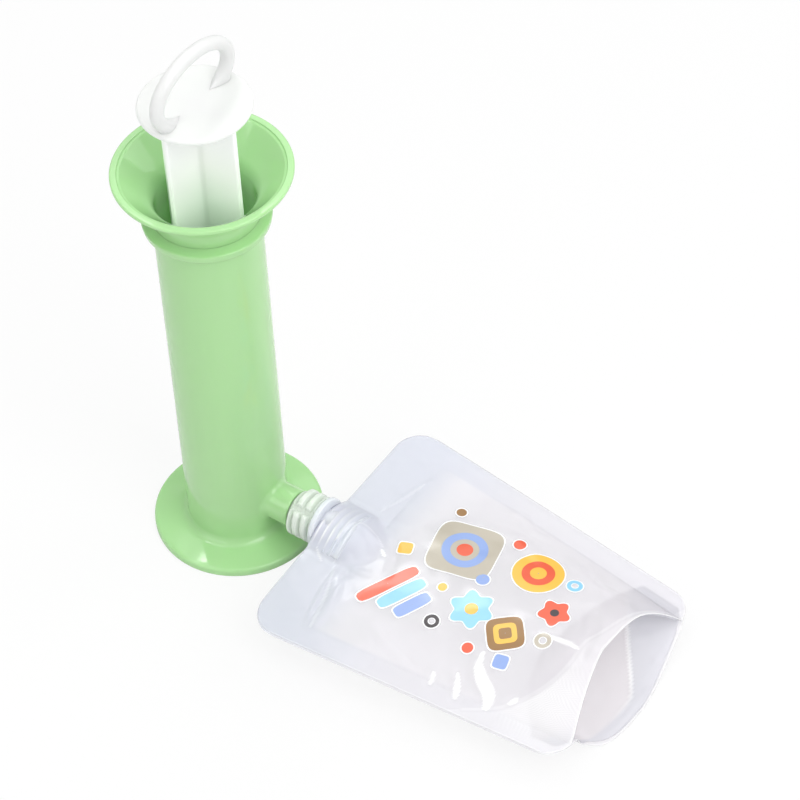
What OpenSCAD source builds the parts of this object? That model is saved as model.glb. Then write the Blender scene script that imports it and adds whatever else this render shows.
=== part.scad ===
// Food pouch filling station: an upright barrel with a funnel mouth, a hand
// plunger inside it, and a spouted pouch pushed into the outlet near its foot.
// The origin is the centre of the foot's underside, +Z runs up the barrel and
// +X points out of the outlet, towards the pouch.

/* [Barrel] */
// Outer radius of the barrel just above the foot
barrel_r = 20; // [18:0.5:22]
// Radius of the bore that the piston runs in
bore_r = 18.35; // [17.5:0.05:18.5]
// Height of the chamber's floor above the table
floor_z = 12.2; // [10:0.2:12.4]
// Height at which the barrel starts to swell into its socket
socket_swell_z = 148; // [140:0.5:150]
// Height of the socket's upper edge
socket_top_z = 163.2; // [162:0.2:164]
// Outer radius of the socket at its upper edge
socket_outer_r = 23; // [22.5:0.1:25]

/* [Foot] */
// Outer radius of the foot
foot_r = 33.4; // [30:0.2:40]
// Height of the foot's rounded edge
foot_h = 3.4; // [3:0.2:5]
// Radius of the curve from the foot up into the barrel
foot_fillet = 5.5; // [4:0.5:6]

/* [Outlet] */
// Height of the outlet's axis
outlet_z = 19.8; // [19.8:0.2:21]
// Distance from the barrel's axis to the outlet's mouth
outlet_reach = 29.2; // [28.5:0.1:30]
// Outer radius of the outlet at its mouth
outlet_r = 7.7; // [7.6:0.1:8]
// Radius of the outlet's bore
outlet_bore_r = 6.5; // [6.3:0.05:6.5]

/* [Funnel] */
// Height of the funnel's lip
lip_z = 185.4; // [184.8:0.2:188]
// Outer radius of the funnel's lip
lip_r = 32.8; // [32.5:0.1:34]
// Width of the flat band round the lip
lip_band = 2.3; // [1.5:0.1:3]
// Wall thickness of the funnel
funnel_wall = 1.7; // [1.5:0.05:1.7]
// Radius of the roll from the throat into the flare
throat_roll_r = 9; // [7:0.5:10]

/* [Plunger] */
// Height of the piston's underside as the plunger stands
piston_z = 67; // [60:0.5:90]
// Height of the guard disc's underside
disc_z = 214.5; // [206:0.5:221]
// Radius of the guard disc
disc_r = 20.4; // [20:0.1:22]
// Thickness of the guard disc
disc_t = 1.8; // [1.4:0.1:2.4]
// Radius to the tips of the shaft's four fins
fin_r = 18; // [16:0.1:18]
// Thickness of a fin
fin_t = 2; // [1.6:0.1:3]
// Turn of the fins and of the ring handle about the barrel's axis
plunger_turn = 83; // [0:1:180]

/* [Ring handle] */
// Half width of the ring, to the middle of its section
ring_a = 19.2; // [16:0.1:19.4]
// Half height of the ring, to the middle of its section
ring_b = 13.2; // [12:0.1:14]
// Radius of the ring's round section
ring_section_r = 2.6; // [2:0.1:3]
// Height of the ring's centre
ring_z = 224.7; // [224:0.1:226]

/* [Spout] */
// Radius of the tip that enters the outlet
tip_r = 6.45; // [6.2:0.05:6.45]
// Radius of the spout's neck under its thread
neck_r = 7.8; // [7.4:0.1:8]
// Radius of the way through the spout
spout_bore_r = 5; // [4:0.1:5.5]
// Radius to the crest of the thread
thread_r = 9.75; // [9:0.05:10]
// Pitch of the thread
thread_pitch = 3.7; // [3:0.1:3.8]
// Radius of the stop flange behind the thread
flange_r = 10.5; // [10:0.1:12]

/* [Pouch] */
// Distance from the barrel's axis to the pouch's straight edge
pouch_x0 = 43.5; // [43:0.5:44]
// Length of the pouch from the straight edge to the far corners
pouch_len = 134.3; // [110:0.1:140]
// Half width of the pouch at its straight edge
pouch_hw = 57.4; // [50:0.2:60]
// Loss of half width for each millimetre of length
pouch_taper = 0.09; // [0:0.01:0.1]
// Offset of the pouch's middle line to one side of the spout
pouch_side = 2.9; // [0:0.1:3]
// Radius of the pouch's corners
pouch_corner = 12.5; // [8:0.5:14]
// Width of the welded seam along each side
side_seam = 8.5; // [6:0.5:10]
// Depth of the welded seam along the straight edge
top_seam = 20; // [18:0.5:22]
// Modelled thickness of the film
film_t = 0.6; // [0.4:0.1:0.8]
// Rise of the upper film at its open end
rise = 10.4; // [6:0.2:12]
// Drop of the lower film at its open end
drop = 11.2; // [8:0.2:11.2]

/* [Hidden] */
round_fn = 96;
eps = 0.01;

function arc(cx, cy, r, a0, a1, n) =
    [for (i = [0:n]) let (a = a0 + (a1 - a0) * i / n) [cx + r * cos(a), cy + r * sin(a)]];
function clamp01(v) = min(1, max(0, v));
function smooth(v) = let (c = clamp01(v)) c * c * (3 - 2 * c);
function mix(a, b, s) = a + (b - a) * s;

// ---- barrel ----
barrel_top_r = barrel_r - 0.13;
seat_z = 153.9;
spigot_r = 20.05;
socket_slope = 1.2;
foot_edge = 1.3;
foot_shell = 1.6;
foot_rim_w = 2.1;
under_r = bore_r - 0.45;
under_top_z = floor_z - 2;
fillet_top_z = foot_h + 1.1 + foot_fillet;
lead_in = 0.6;

module barrel_outside() {
    rotate_extrude($fn = round_fn)
        polygon(concat(
            [[0, 0], [foot_r - 0.5, 0], [foot_r, 0.5]],
            arc(foot_r - foot_edge, foot_h - foot_edge, foot_edge, 0, 88, 5),
            arc(barrel_r + foot_fillet, fillet_top_z, foot_fillet, 262, 180, 7),
            [[barrel_top_r, socket_swell_z - 2]],
            arc(socket_outer_r - 8.6, socket_top_z - 6.8, 8.6, -46, 0, 7),
            [[socket_outer_r, socket_top_z], [spigot_r, socket_top_z + socket_slope], [0, socket_top_z]]
        ));
}

module outlet_outside() {
    translate([0, 0, outlet_z])
        rotate([0, 90, 0])
            rotate_extrude($fn = round_fn)
                polygon(concat(
                    [[0, 12], [outlet_r + 4.6, 12], [outlet_r + 4.6, barrel_r - 3.2]],
                    arc(outlet_r + 4.8, barrel_r + 3.9, 4.6, 255, 180, 7),
                    arc(outlet_r - 0.55, outlet_reach - 0.55, 0.55, 0, 90, 3),
                    [[0, outlet_reach]]
                ));
}

module barrel() {
    color("#a9dc9b")
        difference() {
            union() {
                barrel_outside();
                outlet_outside();
            }
            translate([0, 0, floor_z])
                cylinder(r = bore_r, h = socket_top_z, $fn = round_fn);
            translate([0, 0, seat_z])
                cylinder(r = spigot_r, h = socket_top_z, $fn = round_fn);
            translate([0, 0, -1])
                cylinder(r = under_r, h = under_top_z + 1, $fn = round_fn);
            translate([0, 0, -1])
                cylinder(r = foot_r - foot_rim_w, h = foot_shell + 1, $fn = round_fn);
            translate([0, 0, outlet_z])
                rotate([0, 90, 0])
                    cylinder(r = outlet_bore_r, h = outlet_reach + 1, $fn = round_fn);
        }
}

// ---- funnel ----
roll_x = bore_r + throat_roll_r;
throat_z = 169.4;
flare_angle = 45;
rim_h = 1.8;
lip_step = 0.5;
roll_end_r = roll_x - throat_roll_r * cos(flare_angle);
roll_end_z = throat_z + throat_roll_r * sin(flare_angle);
lip_in_r = lip_r - lip_band;
back_r = throat_roll_r - funnel_wall;
back_end_r = roll_x - back_r * cos(flare_angle);
back_end_z = throat_z + back_r * sin(flare_angle);
rim_under_z = lip_z - rim_h;

module funnel() {
    color("#a9dc9b")
        rotate_extrude($fn = round_fn)
            polygon(concat(
                [[bore_r, seat_z], [spigot_r - lead_in, seat_z], [spigot_r, seat_z + lead_in]],
                arc(roll_x, throat_z, back_r, 180, 180 - flare_angle, 8),
                [[back_end_r + rim_under_z - back_end_z, rim_under_z]],
                arc(lip_r - 0.7, rim_under_z + 0.7, 0.7, -80, 0, 3),
                arc(lip_r - 0.6, lip_z - 0.6, 0.6, 0, 90, 3),
                [[lip_in_r + 0.4, lip_z], [lip_in_r + 0.2, lip_z - lip_step],
                 [lip_in_r - 0.4, lip_z - lip_step - 0.2]],
                [for (p = arc(roll_x, throat_z, throat_roll_r, 180 - flare_angle, 180, 8)) p]
            ));
}

// ---- plunger ----
head_t = 10;
plate_t = 2.6;
seal_groove_r = 14.6;
fit_gap = 0.05;
seal_z0 = piston_z + plate_t + fit_gap;
seal_z1 = piston_z + head_t - plate_t - fit_gap;
shaft_z0 = piston_z + head_t;
disc_top_z = disc_z + disc_t;

module piston_head() {
    color("white")
        translate([0, 0, piston_z])
            rotate_extrude($fn = round_fn)
                polygon([[0, 0], [fin_r - 1.2, 0], [fin_r, 0.8], [fin_r, plate_t], [seal_groove_r, plate_t],
                         [seal_groove_r, head_t - plate_t], [fin_r, head_t - plate_t], [fin_r, head_t], [0, head_t]]);
}

module piston_seal() {
    seal_r = bore_r - fit_gap;
    lip_t = 1.3;
    waist = 1.4;
    color("#f0f0ee")
        rotate_extrude($fn = round_fn)
            polygon([[seal_groove_r + fit_gap, seal_z0], [seal_r, seal_z0], [seal_r, seal_z0 + lip_t],
                     [seal_r - waist, seal_z0 + lip_t + 0.6], [seal_r - waist, seal_z1 - lip_t - 0.6],
                     [seal_r, seal_z1 - lip_t], [seal_r, seal_z1], [seal_groove_r + fit_gap, seal_z1]]);
}

module plunger_shaft() {
    shaft_h = disc_z - shaft_z0;
    color("white")
        translate([0, 0, shaft_z0])
            intersection() {
                cylinder(r = fin_r, h = shaft_h, $fn = round_fn);
                rotate([0, 0, plunger_turn])
                    union() {
                        translate([-fin_r - 1, -fin_t / 2, 0])
                            cube([2 * fin_r + 2, fin_t, shaft_h]);
                        translate([-fin_t / 2, -fin_r - 1, 0])
                            cube([fin_t, 2 * fin_r + 2, shaft_h]);
                    }
            }
}

module guard_disc() {
    edge = 0.5;
    color("#f4f7fa")
        translate([0, 0, disc_z])
            rotate_extrude($fn = round_fn)
                polygon([[0, 0], [disc_r - edge, 0], [disc_r, edge], [disc_r, disc_t - edge],
                         [disc_r - edge, disc_t], [0, disc_t]]);
}

// The ring is a round section carried along an ellipse, from the guard disc up
// and over and down to it again. Its two end sections lie flat on the disc.
ring_steps = 34;
ring_sides = 20;
ring_start = asin((disc_top_z - ring_z) / ring_b);

// Section i of the ring: its own turn for the tube, or level at either end,
// where the step is twice as long, so that the tube's next section clears the disc
function ring_section(i) =
    let (place = i == 0 ? 0 : i == ring_steps ? ring_steps + 2 : i + 1, ends = i == 0 || i == ring_steps,
         a = ring_start + (180 - 2 * ring_start) * place / (ring_steps + 2),
         tangent = [-ring_a * sin(a), ring_b * cos(a)] / norm([ring_a * sin(a), ring_b * cos(a)]),
         across = ends ? [1 / abs(tangent[1]) * (i == 0 ? 1 : -1), 0] : [tangent[1], -tangent[0]])
    [for (k = [0:ring_sides - 1]) let (b = 360 * k / ring_sides, u = ring_section_r * cos(b))
        [ring_a * cos(a) + u * across[0], ring_section_r * sin(b), ring_z + ring_b * sin(a) + u * across[1]]];

module ring_handle() {
    points = [for (i = [0:ring_steps]) each ring_section(i)];
    n = ring_sides;
    tube = [for (i = [0:ring_steps - 1]) for (k = [0:n - 1]) let (a = i * n + k, b = i * n + (k + 1) % n)
        each [[a, a + n, b], [b, a + n, b + n]]];
    first = [for (k = [0:n - 1]) k];
    last = [for (k = [n - 1:-1:0]) ring_steps * n + k];
    color("white")
        rotate([0, 0, plunger_turn])
            polyhedron(points = points, faces = concat(tube, [first, last]), convexity = 6);
}

// ---- spout ----
tip_x0 = 21.5;
neck_x0 = outlet_reach + 0.5;
flange_x = 41.3;
flange_t = 1.5;
boat_x0 = 44.2;
boat_len = 13;
boat_hw = 14;
boat_ht = 5.9;
boat_ribs = 5;
rib_h = 0.35;
rib_w = 1.2;
thread_starts = [0, 180];
thread_sweep = 138;
thread_turns = 3;
thread_tilt = atan2(thread_pitch / 2, 2 * thread_r);
thread_x0 = neck_x0 + 1.7;

function boat_outline(grow) =
    concat([for (i = [0:16]) let (y = mix(-1, 1, i / 16))
                [y * (boat_hw + grow), (boat_ht + grow) * (1 - y * y) * (1 - 0.18 * y * y) + 0.3]],
           [for (i = [16:-1:0]) let (y = mix(-1, 1, i / 16))
                [y * (boat_hw + grow), -(boat_ht + grow) * (1 - y * y) * (1 - 0.18 * y * y) - 0.3]]);

// A stretch of thread: part of a ring round the X axis, tipped by the helix angle
module thread_arc(x, start) {
    translate([x, 0, 0])
        rotate([start, 0, 0])
            rotate([0, 0, thread_tilt])
                rotate([0, 90, 0])
                    rotate([0, 0, -thread_sweep / 2])
                        rotate_extrude(angle = thread_sweep, $fn = round_fn)
                            polygon([[neck_r - 1.2, -1], [thread_r - 0.3, -0.55], [thread_r, -0.35],
                                     [thread_r, 0.35], [thread_r - 0.3, 0.55], [neck_r - 1.2, 1]]);
}

module spout() {
    color("#eef3ea")
        translate([0, 0, outlet_z])
            difference() {
                union() {
                    rotate([0, 90, 0])
                        rotate_extrude($fn = round_fn)
                            polygon([[0, tip_x0], [tip_r - 0.7, tip_x0], [tip_r, tip_x0 + 1.2],
                                     [tip_r, neck_x0], [neck_r - 0.3, neck_x0], [neck_r, neck_x0 + 0.3],
                                     [neck_r, flange_x], [flange_r - 0.3, flange_x], [flange_r, flange_x + 0.3],
                                     [flange_r, flange_x + flange_t - 0.3], [flange_r - 0.3, flange_x + flange_t],
                                     [neck_r - 1.4, flange_x + flange_t], [neck_r - 1.4, boat_x0 + 1], [0, boat_x0 + 1]]);
                    for (turn = [0:thread_turns - 1])
                        for (start = thread_starts)
                            thread_arc(thread_x0 + (turn + start / 360) * thread_pitch * 0.86, start + 35);
                    translate([boat_x0, 0, 0])
                        rotate([90, 0, 90])
                            linear_extrude(height = boat_len)
                                polygon(boat_outline(0));
                    for (i = [0:boat_ribs - 1])
                        translate([boat_x0 + 1 + i * (boat_len - rib_w - 2) / (boat_ribs - 1), 0, 0])
                            rotate([90, 0, 90])
                                linear_extrude(height = rib_w)
                                    polygon(boat_outline(rib_h));
                }
                rotate([0, 90, 0])
                    translate([0, 0, tip_x0 - 1])
                        cylinder(r = spout_bore_r, h = boat_x0 + boat_len - tip_x0 + 2, $fn = round_fn);
            }
}

// ---- pouch ----
// The two films meet on one gently falling mid-surface. s runs from 0 at the
// straight edge to 1 at the open end, and t from -1 to 1 across the pouch.
far_x = pouch_x0 + pouch_len;
mid_z0 = outlet_z;
mid_z1 = 12.4;
end_skew = 2.3;
corner_droop = 3;
front_pull = 10.3;
back_push = 6.5;
gusset_depth = 36;
tent_len = 24;
tent_ht = boat_ht + rib_h + 0.55;
tent_hw = boat_hw + 4;
film_ns = 26;
film_nt = 36;

function half_w(x) = pouch_hw - pouch_taper * (x - pouch_x0);
// The mid-surface falls along the pouch, and one corner of the straight edge droops
function mid_z(x, y) = let (s = (x - pouch_x0) / pouch_len)
    mix(mid_z0, mid_z1, s) - corner_droop * (1 - s) * pow(max(0, -y / pouch_hw), 1.5);
function spread(t) = sign(t) * pow(abs(t), 1.3);
function corner_cut(y, hw) = let (d = max(0, abs(y) - (hw - pouch_corner)))
    pouch_corner - sqrt(max(0, pouch_corner * pouch_corner - d * d));
function inner_w(x, y) = clamp01(abs(y) / (half_w(x) - side_seam));
function chamber(x) = clamp01((x - pouch_x0 - top_seam) / (pouch_len - top_seam));
// How far a film stands off the mid-surface inside the seams
function belly(x, y, at_end) = let (q = chamber(x), w = inner_w(x, y))
    (3 * sin(180 * min(1, q)) + at_end * q * q) * (1 - w * w);
// The swelling over the spout's welded boat, fading out along the pouch
function tent(x, y) = let (u = clamp01(abs(y + pouch_side) / tent_hw), s = (x - boat_x0 - boat_len) / tent_len)
    tent_ht * (1 - u * u) * (1 - smooth(s));
function stand_off(x, y, at_end) = max(belly(x, y, at_end), tent(x, y));
function end_x(t, shift) = far_x + end_skew * t + shift * (1 - t * t)
    - corner_cut(t * half_w(far_x), half_w(far_x)) * 0.7;
function grid_x(s, t, shift) =
    let (a = pouch_x0 + corner_cut(t * pouch_hw, pouch_hw)) mix(a, end_x(t, shift), 0.35 * s + 0.65 * s * s);
// A point of a film: side is 1 for the upper film and -1 for the lower one
function film_point(s, t, side, out) =
    let (x = grid_x(s, t, side > 0 ? -front_pull : back_push), y = t * half_w(x),
         lift = stand_off(x, y, side > 0 ? rise : drop))
    [x, y + pouch_side, mid_z(x, y) + side * (lift + out)];

// A closed sheet from two grids of points, the outer one and the inner one
module sheet(outer, inner, nu, nv) {
    m = nv + 1;
    base = (nu + 1) * m;
    top = [for (i = [0:nu - 1]) for (j = [0:nv - 1]) let (a = i * m + j)
        each [[a, a + 1, a + m], [a + 1, a + m + 1, a + m]]];
    under = [for (f = top) [f[2] + base, f[1] + base, f[0] + base]];
    rim = concat([for (j = [0:nv - 1]) j], [for (i = [0:nu - 1]) i * m + nv],
                 [for (j = [nv:-1:1]) nu * m + j], [for (i = [nu:-1:1]) i * m]);
    n = len(rim);
    wall = [for (k = [0:n - 1]) let (a = rim[k], b = rim[(k + 1) % n]) each [[b, a, a + base], [b, a + base, b + base]]];
    polyhedron(points = concat(outer, inner), faces = concat(top, under, wall), convexity = 6);
}

module film(side) {
    grid = [for (i = [0:film_ns]) for (j = [0:film_nt]) [i / film_ns, spread(2 * j / film_nt - 1)]];
    near = [for (g = grid) film_point(g[0], g[1], side, 0.05)];
    far = [for (g = grid) film_point(g[0], g[1], side, film_t + 0.05)];
    if (side > 0)
        sheet(near, far, film_ns, film_nt);
    else
        sheet(far, near, film_ns, film_nt);
}

module front_film() {
    color("#e6e8f2", 0.6)
        film(1);
}

module back_film() {
    color("#e6e8f2", 0.6)
        film(-1);
}

// The gusset is one sheet folded back between the films: u runs from -1 at the
// upper film's end over 0 at the crease to 1 at the lower film's end.
gusset_ns = 16;
gusset_nt = 20;
gusset_t = 0.5;
gusset_inset = 0.6;

function gusset_point(u, t, out) =
    let (side = u < 0 ? 1 : -1, q = abs(u), reach = t * 0.985,
         edge = end_x(reach, side > 0 ? -front_pull : back_push) - gusset_inset,
         crease = far_x - gusset_depth * (1 - 0.35 * t * t),
         x = mix(crease, edge, q), y = reach * (half_w(x) - side_seam * 0.4),
         lift = max(0, stand_off(x, y, side > 0 ? rise : drop) * pow(q, 0.8) - gusset_t * 0.5))
    [x - out * (1 - q), y + pouch_side, mid_z(x, y) + side * (lift + 0.02 + out * q)];

module gusset_film() {
    grid = [for (i = [0:gusset_ns]) for (j = [0:gusset_nt]) [2 * i / gusset_ns - 1, 2 * j / gusset_nt - 1]];
    color("#dfe2ee", 0.6)
        sheet([for (g = grid) gusset_point(g[0], g[1], 0)],
              [for (g = grid) gusset_point(g[0], g[1], -gusset_t)], gusset_ns, gusset_nt);
}

barrel();
funnel();
ring_handle();
guard_disc();
plunger_shaft();
piston_head();
piston_seal();
spout();
front_film();
back_film();
gusset_film();
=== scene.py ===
import bmesh
import bpy
import numpy as np
from mathutils import Matrix, Vector


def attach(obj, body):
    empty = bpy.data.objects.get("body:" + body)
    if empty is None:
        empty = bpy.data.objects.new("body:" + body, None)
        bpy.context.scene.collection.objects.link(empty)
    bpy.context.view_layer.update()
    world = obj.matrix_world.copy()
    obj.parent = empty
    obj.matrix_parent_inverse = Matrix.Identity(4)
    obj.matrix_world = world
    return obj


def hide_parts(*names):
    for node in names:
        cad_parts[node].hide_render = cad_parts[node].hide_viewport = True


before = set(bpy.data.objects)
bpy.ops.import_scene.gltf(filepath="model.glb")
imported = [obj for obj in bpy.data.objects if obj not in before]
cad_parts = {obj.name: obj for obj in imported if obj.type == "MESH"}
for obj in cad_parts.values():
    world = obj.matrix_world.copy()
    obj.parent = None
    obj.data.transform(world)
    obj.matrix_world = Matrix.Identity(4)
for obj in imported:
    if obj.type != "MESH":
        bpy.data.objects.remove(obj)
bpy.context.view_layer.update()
MM = 0.001

# %% [markdown]
# The camera comes first. It stands high at the front right of the station and looks
# down at about 47 degrees through a long lens, which keeps the barrel's sides almost
# parallel. Its place and its three turns are named values, and the matrix is built
# from the directions that they give: right, ahead and up.

# %% Camera
CAMERA_AT = (0.5236, -0.6043, 0.9214)
CAMERA_HEADING, CAMERA_TILT, CAMERA_ROLL = np.radians([36.2, 47.22, -2.87])
LENS_MM, SENSOR_MM, NEAR_CLIP = 138.3, 36.0, 0.05


def camera_axes(heading, tilt, roll):
    """The camera's right, up and backward directions. Ahead points along the heading,
    dropped by the tilt; right is level; up is their cross product. The roll then turns
    right and up about ahead."""
    right = np.array([np.cos(heading), np.sin(heading), 0.0])
    ahead = np.array([-np.sin(heading) * np.cos(tilt), np.cos(heading) * np.cos(tilt), -np.sin(tilt)])
    up = np.cross(right, ahead)
    turned_right = np.cos(roll) * right + np.sin(roll) * up
    turned_up = -np.sin(roll) * right + np.cos(roll) * up
    return turned_right, turned_up, -ahead


def add_object(name, data):
    """Puts a new object with this data in the scene."""
    obj = bpy.data.objects.new(name, data)
    bpy.context.scene.collection.objects.link(obj)
    return obj


def add_camera():
    """The scene's camera, with its long lens."""
    data = bpy.data.cameras.new("camera")
    data.lens = LENS_MM
    data.sensor_width = SENSOR_MM
    data.clip_start = NEAR_CLIP
    cam = add_object("camera", data)
    turn = Matrix(np.array(camera_axes(CAMERA_HEADING, CAMERA_TILT, CAMERA_ROLL)).T.tolist())
    cam.matrix_world = Matrix.Translation(CAMERA_AT) @ turn.to_4x4()
    bpy.context.scene.camera = cam
    return cam


camera = add_camera()
print("camera at", [round(v, 3) for v in camera.matrix_world.translation])

# %% [markdown]
# Every piece below is a grid of points worked out with numpy. Three helpers turn
# such points into meshes: one makes quads from a grid, one rounds the corners of a
# profile with small arcs, and one turns a profile about an axis. Small rounded
# corners matter, because moulded plastic has no razor edges and each one catches
# a thin line of light.

# %% Mesh helpers
def grid_faces(nu, nv, wrap_u=False, wrap_v=False):
    """Quads of a grid of nu by nv points stored row by row: each joins point (i, j)
    to its neighbours at i + 1 and j + 1. A wrapped direction joins its end to its start."""
    i = np.arange(nu if wrap_u else nu - 1)
    j = np.arange(nv if wrap_v else nv - 1)
    i, j = np.meshgrid(i, j, indexing="ij")
    i2, j2 = (i + 1) % nu, (j + 1) % nv
    quad = np.stack([i * nv + j, i2 * nv + j, i2 * nv + j2, i * nv + j2], -1)
    return quad.reshape(-1, 4)


def add_mesh(name, points, faces, smooth_angle, merge=0):
    """An object from points in millimetres: doubled points are merged where asked, and
    normals are turned outwards. It is shaded smooth up to the angle."""
    mesh = bpy.data.meshes.new(name)
    mesh.from_pydata((points * MM).tolist(), [], faces)
    bm = bmesh.new()
    bm.from_mesh(mesh)
    if merge:
        bmesh.ops.remove_doubles(bm, verts=bm.verts, dist=merge)
        bmesh.ops.dissolve_degenerate(bm, edges=bm.edges, dist=merge)
    bmesh.ops.recalc_face_normals(bm, faces=bm.faces)
    bm.to_mesh(mesh)
    bm.free()
    mesh.shade_smooth()
    mesh.set_sharp_from_angle(angle=np.radians(smooth_angle))
    return add_object(name, mesh)


def make_object(name, parts, merge=1e-6, smooth_angle=40.0):
    """Joins parts, each (points in millimetres, faces), into one object at the origin."""
    points, faces, base = [], [], 0
    for p, f in parts:
        p = np.asarray(p, float).reshape(-1, 3)
        points.append(p)
        faces.extend((np.asarray(f) + base).tolist())
        base += len(p)
    return add_mesh(name, np.concatenate(points), faces, smooth_angle, merge)


def make_capped(name, points, faces):
    """A piece from a grid that wraps across: one many-sided face shuts each end."""
    rows, cols = points.shape[:2]
    caps = [list(range(cols))[::-1], list(range((rows - 1) * cols, rows * cols))]
    return add_mesh(name, points.reshape(-1, 3), faces.tolist() + caps, 40.0)


def rounded_path(points, radii, steps=5):
    """A polyline whose corner k is replaced by an arc of radius radii[k]: the arc
    touches both sides at a distance r / tan(half the corner's angle) from the corner."""
    points = np.asarray(points, float)
    out = [points[0]]
    for k in range(1, len(points) - 1):
        p, r = points[k], radii[k]
        a, b = points[k - 1] - p, points[k + 1] - p
        a, b = a / np.linalg.norm(a), b / np.linalg.norm(b)
        half = 0.5 * np.arccos(np.clip(a @ b, -1, 1))
        if r <= 0 or half > 1.55:
            out.append(p)
            continue
        centre = p + (a + b) / np.linalg.norm(a + b) * r / np.sin(half)
        start, end = p + a * r / np.tan(half), p + b * r / np.tan(half)
        for s in np.linspace(0, 1, steps + 1):
            q = start * (1 - s) + end * s - centre
            out.append(centre + q / np.linalg.norm(q) * r)
    out.append(points[-1])
    return np.array(out)


def dense_path(path, step):
    """The same path with extra points, so that no straight stretch is longer than step."""
    out = [path[0]]
    for a, b in zip(path[:-1], path[1:]):
        n = max(1, int(np.ceil(np.linalg.norm(b - a) / step)))
        out.extend(a + (b - a) * k / n for k in range(1, n + 1))
    return np.array(out)


def revolve(path, steps=192):
    """Turns a profile of (radius, height) points about Z: x = r cos a, y = r sin a."""
    a = np.linspace(0, 2 * np.pi, steps, endpoint=False)
    r, z = path[:, 0][:, None], path[:, 1][:, None]
    pts = np.stack([r * np.cos(a), r * np.sin(a), z + 0 * a], -1)
    return pts, grid_faces(len(path), steps, wrap_v=True)


def lay_along_x(points, axis_z):
    """Turns points made about Z so that their axis is X, at the height axis_z."""
    p = np.asarray(points)
    return np.stack([p[..., 2], p[..., 1], axis_z - p[..., 0]], -1)


def vertices_mm(obj):
    """The mesh's points as an (n, 3) array in millimetres."""
    co = np.zeros(len(obj.data.vertices) * 3, np.float32)
    obj.data.vertices.foreach_get("co", co)
    return co.reshape(-1, 3) / MM


def set_colours(obj, name, colours):
    """Stores a colour for each point of the mesh as an attribute that a material reads."""
    rgba = np.ones((len(obj.data.vertices), 4), np.float32)
    rgba[:, :3] = colours
    layer = obj.data.attributes.new(name, "FLOAT_COLOR", "POINT")
    layer.data.foreach_set("color", rgba.ravel())


def srgb(r, g, b, a=1.0):
    """A colour given as on a screen, 0 to 255, as the linear values that shaders use."""
    c = np.array([r, g, b]) / 255.0
    c = np.where(c <= 0.04045, c / 12.92, ((c + 0.055) / 1.055) ** 2.4)
    return (*c.tolist(), a)


print("helpers ready")

# %% [markdown]
# The barrel is one hollow moulding: a tube on a flared foot, with a thick rim round
# its top, which is the funnel's socket, and a short outlet low on its side. The tube
# is a turned profile, and the outlet grows out of it with a soft fillet. A boolean
# would leave a hard seam there, so the wall leaves out a window round the outlet
# instead. A ring of quads fills the window from its square edge to a circle, and a
# curved band leads from that circle onto the outlet's own tube.

# %% Barrel sizes
BORE_R = 18.35
OUTLET_Z, OUTLET_REACH, OUTLET_R, OUTLET_BORE_R = 19.8, 29.2, 7.7, 6.5
FLOOR_Z, FOOT_R, FOOT_H = 12.2, 33.4, 3.4
SEAT_Z, SPIGOT_R, RIM_R, RIM_LOW_Z, RIM_TOP_Z = 161.2, 20.05, 23.8, 161.3, 165.2
TUBE_R, WALL_R = 20.0, (18.2, 26.0)
ROOT_FILLET, ROOT_PULL, OUTLET_ROUND, MOUTH_FLARE, MOUTH_DEPTH = 1.9, 1.7, 0.6, 0.25, 0.3
OUTER_WINDOW, INNER_WINDOW = ((5.2, 35.0), 24), ((FLOOR_Z, 28.5), 20)
COLUMNS, ROW_STEP = 192, 1.3


def barrel_outside():
    """The outer profile from the foot's hollow underside up to the rim's top edge."""
    corners = [(0, 10.2), (17.9, 10.2), (17.9, 1.6), (31.3, 1.6), (31.3, 0), (FOOT_R, 0), (FOOT_R, FOOT_H),
               (TUBE_R, 4.9), (19.87, RIM_LOW_Z - 3.2), (RIM_R - 0.4, RIM_LOW_Z), (RIM_R, RIM_TOP_Z - 1.0),
               (SPIGOT_R + 0.05, RIM_TOP_Z)]
    radii = [0, 0.8, 0.8, 0.3, 0.3, 0.5, 1.3, 3.5, 1.5, 1.2, 0.7, 0]
    return rounded_path(corners, radii, 7)


def barrel_inside():
    """The inner profile from the socket in the rim down the bore to the middle of the floor."""
    corners = [(SPIGOT_R + 0.05, RIM_TOP_Z), (SPIGOT_R, RIM_TOP_Z - 0.3), (SPIGOT_R, SEAT_Z),
               (BORE_R, SEAT_Z), (BORE_R, FLOOR_Z), (0, FLOOR_Z)]
    return rounded_path(corners, [0] * 6)


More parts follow.
